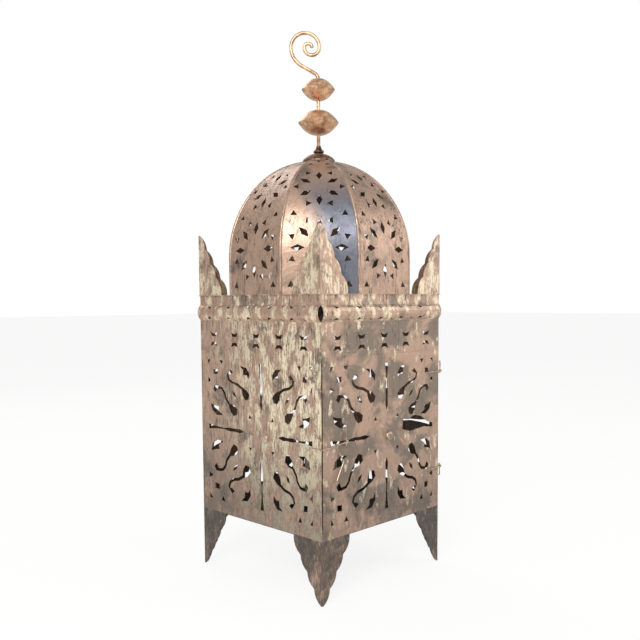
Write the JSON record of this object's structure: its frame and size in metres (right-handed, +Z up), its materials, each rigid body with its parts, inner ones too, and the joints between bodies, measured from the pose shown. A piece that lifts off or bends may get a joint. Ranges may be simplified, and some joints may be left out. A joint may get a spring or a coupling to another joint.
{
  "type": "lantern",
  "caption": "Floor-standing candle lantern: a pierced square sheet box on scalloped feet with a hinged door, an eight-sided pierced dome and a finial of hollow balls and a wire scroll.",
  "frame": {"origin": "on the floor under the middle of the box", "axes": "+Z up, -Y out through the door, +X towards the hinges"},
  "size_m": [0.387, 0.3783, 1.1286],
  "materials": {
    "wall_sheet": "aged, brushed",
    "dome_sheet": "aged, heat-tinted",
    "foot_sheet": "sooty, aged",
    "dark_sheet": "dark, aged",
    "finial_brass": "aged, satin",
    "wire": "dark, aged",
    "wax": "wax",
    "cotton": "plain"
  },
  "bodies": {
    "door": {"door_boss": "wall_sheet", "door_catch_staple": "wire", "door_hinge_wire_lower": "wire", "door_hinge_wire_upper": "wire", "door_panel": "wall_sheet"},
    "latch": {"latch_arm": "wire"},
    "keeper": {"keeper_wire": "wire"},
    "candle": {"candle": "wax", "candle_wick": "cotton"},
    "lantern": {"base_plate": "dark_sheet", "candle_pan": "dark_sheet", "candle_pricket": "dark_sheet", "corner_post_back_left": "wall_sheet", "corner_post_back_right": "wall_sheet", "corner_post_front_left": "wall_sheet", "corner_post_front_right": "wall_sheet", "cornice_back": "wall_sheet", "cornice_front": "wall_sheet", "cornice_left": "wall_sheet", "cornice_right": "wall_sheet", "dome_base_ring": "wall_sheet", "dome_cap": "finial_brass", "dome_gore_1": "dome_sheet", "dome_gore_2": "dome_sheet", "dome_gore_3": "dome_sheet", "dome_gore_4": "dome_sheet", "dome_gore_5": "dome_sheet", "dome_gore_6": "dome_sheet", "dome_gore_7": "dome_sheet", "dome_gore_8": "dome_sheet", "dome_seam_straps": "wall_sheet", "finial_collar": "finial_brass", "finial_lower_ball_bottom": "finial_brass", "finial_lower_ball_top": "finial_brass", "finial_stem": "finial_brass", "finial_upper_ball_bottom": "finial_brass", "finial_upper_ball_top": "finial_brass", "foot_back_left": "foot_sheet", "foot_back_right": "foot_sheet", "foot_front_left": "foot_sheet", "foot_front_right": "foot_sheet", "front_bottom_rail": "wall_sheet", "front_neck_panel": "wall_sheet", "hinge_staple_lower": "wire", "hinge_staple_upper": "wire", "horn_back_left": "wall_sheet", "horn_back_right": "wall_sheet", "horn_front_left": "wall_sheet", "horn_front_right": "wall_sheet", "latch_prong": "wire", "side_panel_back": "wall_sheet", "side_panel_left": "wall_sheet", "side_panel_right": "wall_sheet", "top_band": "wall_sheet", "top_deck": "wall_sheet", "wall_boss_back": "wall_sheet", "wall_boss_left": "wall_sheet", "wall_boss_right": "wall_sheet"}
  },
  "joints": [
    {"name": "door_hinge", "type": "hinge", "parent": "lantern", "child": "door", "pos_m": [0.1952, -0.173, 0.3], "axis": [0, 0, 1], "range_deg": [0, 110]},
    {"name": "latch_swing", "type": "hinge", "parent": "door", "child": "latch", "pos_m": [-0.119, -0.1864, 0.303], "axis": [0, 0, 1], "range_deg": [0, 90]},
    {"name": "keeper_swing", "type": "hinge", "parent": "latch", "child": "keeper", "pos_m": [-0.14585, -0.1864, 0.30018], "axis": [-0.9945, 0, -0.1045], "range_deg": [0, 80]},
    {"name": "candle_lift", "type": "slide", "parent": "lantern", "child": "candle", "axis": [0, 0, 1], "range_m": [0, 0.04]}
  ]
}
